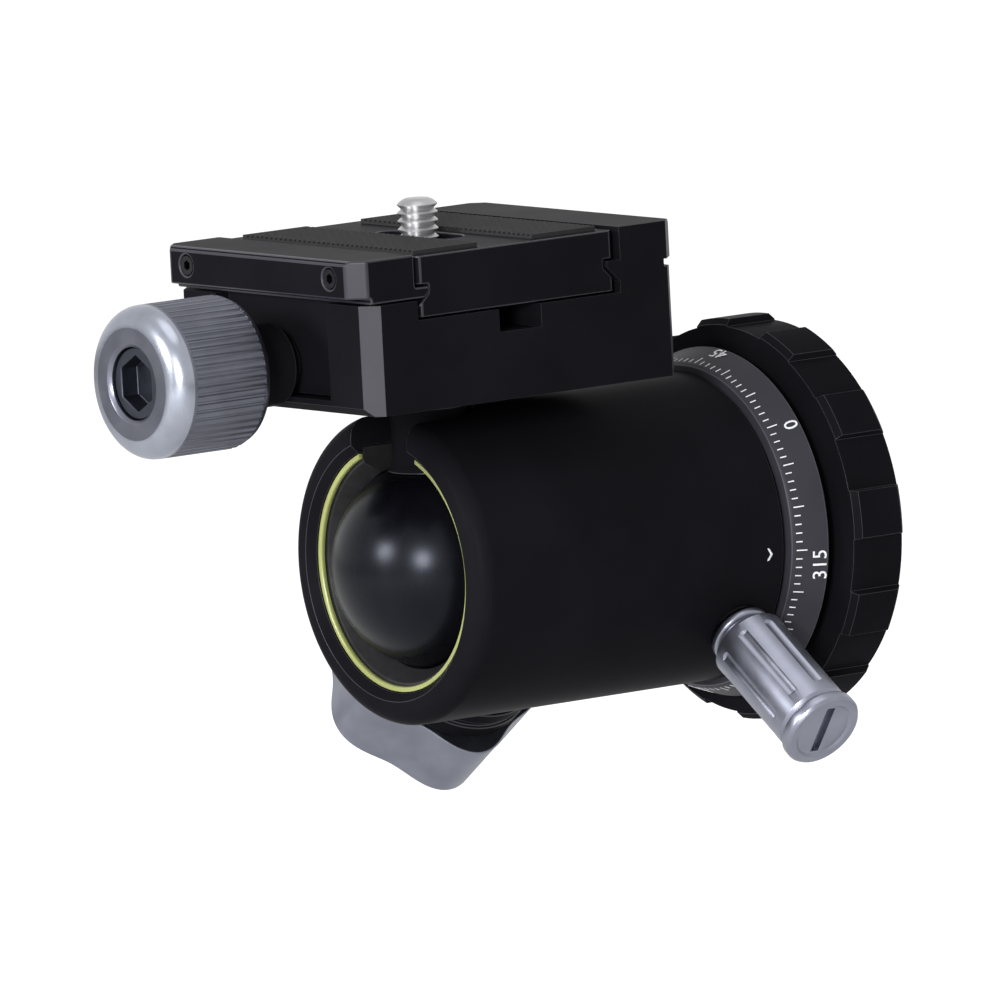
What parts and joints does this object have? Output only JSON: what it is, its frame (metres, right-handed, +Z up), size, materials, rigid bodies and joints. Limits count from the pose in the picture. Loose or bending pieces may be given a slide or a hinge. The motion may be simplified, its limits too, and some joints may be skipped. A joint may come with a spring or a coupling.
{
  "type": "ball head",
  "caption": "Tripod ball head: panning housing with drop notch, two lock knobs, and a dovetail clamp with a screw knob and plate.",
  "frame": {"origin": "centre of the mounting face at the base's end, on the housing's axis", "axes": "+X along the housing's axis, out of the mounting face towards what holds the head; +Z up along the stem, through the drop notch"},
  "size_m": [0.1231, 0.0885, 0.0955],
  "materials": {
    "black_satin": "black anodised, fine satin",
    "scale_grey": "dark grey anodised, satin",
    "silver": "clear anodised, satin",
    "steel": "machined, bare",
    "brass": "machined",
    "accent": "yellow-green anodised",
    "gloss_black": "hard anodised and polished",
    "bearing_polymer": "low-friction bearing plastic",
    "pad_rubber": "ribbed grip pad"
  },
  "bodies": {
    "base": {"base_plate": "black_satin", "grip_ring": "black_satin", "scale_ring": "scale_grey", "thread_bush": "steel", "pan_pivot": "steel", "thrust_washer": "bearing_polymer", "pivot_washer": "brass", "pivot_nut": "steel", "base_screw_1": "steel", "base_screw_2": "steel", "base_screw_3": "steel"},
    "housing": {"housing": "black_satin", "accent_ring": "accent", "upper_seat": "bearing_polymer", "lock_bush": "brass", "pan_bush": "brass"},
    "lower_cup": {"lower_cup": "bearing_polymer"},
    "lock_wedge": {"lock_wedge": "steel"},
    "lock_knob": {"lock_screw": "steel", "lock_collar": "black_satin", "lock_knob": "silver", "lock_knob_cap": "silver"},
    "pan_brake": {"pan_brake": "bearing_polymer"},
    "pan_knob": {"pan_screw": "steel", "pan_collar": "silver", "pan_knob": "silver", "pan_knob_cap": "silver"},
    "ball": {"ball": "gloss_black"},
    "clamp": {"stem": "black_satin", "stem_bolt": "steel", "clamp_body": "black_satin"},
    "jaw": {"moving_jaw": "black_satin", "guide_pin_front": "steel", "guide_pin_back": "steel", "jaw_screw_front": "steel", "jaw_screw_back": "steel"},
    "clamp_knob": {"clamp_screw": "steel", "clamp_screw_clip": "steel", "clamp_knob_collar": "black_satin", "clamp_knob": "silver", "clamp_knob_insert": "steel"},
    "plate": {"quick_plate": "black_satin", "plate_pad_knob_side": "pad_rubber", "plate_pad_bar_side": "pad_rubber"},
    "camera_screw": {"camera_screw": "steel"}
  },
  "joints": [
    {"name": "base_pan", "type": "hinge", "parent": "base", "child": "housing", "pos_m": [0, 0, 0], "axis": [-1, 0, 0], "continuous": true},
    {"name": "cup_slide", "type": "slide", "parent": "housing", "child": "lower_cup", "axis": [1, 0, 0], "range_m": [0, 0.00018]},
    {"name": "wedge_slide", "type": "slide", "parent": "housing", "child": "lock_wedge", "axis": [0, 0.809, -0.5878], "range_m": [0, 0.001]},
    {"name": "lock_turn", "type": "hinge", "parent": "lock_wedge", "child": "lock_knob", "pos_m": [-0.046, 0, 0], "axis": [0, 0.809, -0.5878], "range_deg": [0, 360]},
    {"name": "brake_slide", "type": "slide", "parent": "housing", "child": "pan_brake", "axis": [0, -0.8192, -0.5736], "range_m": [0, 0.001]},
    {"name": "pan_lock_turn", "type": "hinge", "parent": "pan_brake", "child": "pan_knob", "pos_m": [-0.0255, 0, 0], "axis": [0, -0.8192, -0.5736], "range_deg": [0, 360]},
    {"name": "ball_tilt", "type": "hinge", "parent": "housing", "child": "ball", "pos_m": [-0.0676, 0, 0], "axis": [0, -1, 0], "range_deg": [0, 130]},
    {"name": "ball_spin", "type": "hinge", "parent": "ball", "child": "clamp", "pos_m": [-0.0676, 0, 0], "axis": [0, 0, 1], "range_deg": [-150, 150]},
    {"name": "jaw_slide", "type": "slide", "parent": "clamp", "child": "jaw", "axis": [-1, 0, 0], "range_m": [0, 0.0045]},
    {"name": "clamp_knob_turn", "type": "hinge", "parent": "jaw", "child": "clamp_knob", "pos_m": [-0.0676, 0, 0.0339], "axis": [-1, 0, 0], "range_deg": [0, 1620]},
    {"name": "plate_slide", "type": "slide", "parent": "clamp", "child": "plate", "axis": [0, 1, 0], "range_m": [-0.012, 0.012]},
    {"name": "camera_screw_turn", "type": "hinge", "parent": "plate", "child": "camera_screw", "pos_m": [-0.0676, 0, 0.046], "axis": [0, 0, 1], "continuous": true}
  ],
  "couplings": [
    {"joint": "lock_turn", "follows": "wedge_slide", "rad_per_m": 6280},
    {"joint": "cup_slide", "follows": "wedge_slide", "ratio": 0.173},
    {"joint": "pan_lock_turn", "follows": "brake_slide", "rad_per_m": 6280},
    {"joint": "clamp_knob_turn", "follows": "jaw_slide", "rad_per_m": 6280}
  ]
}
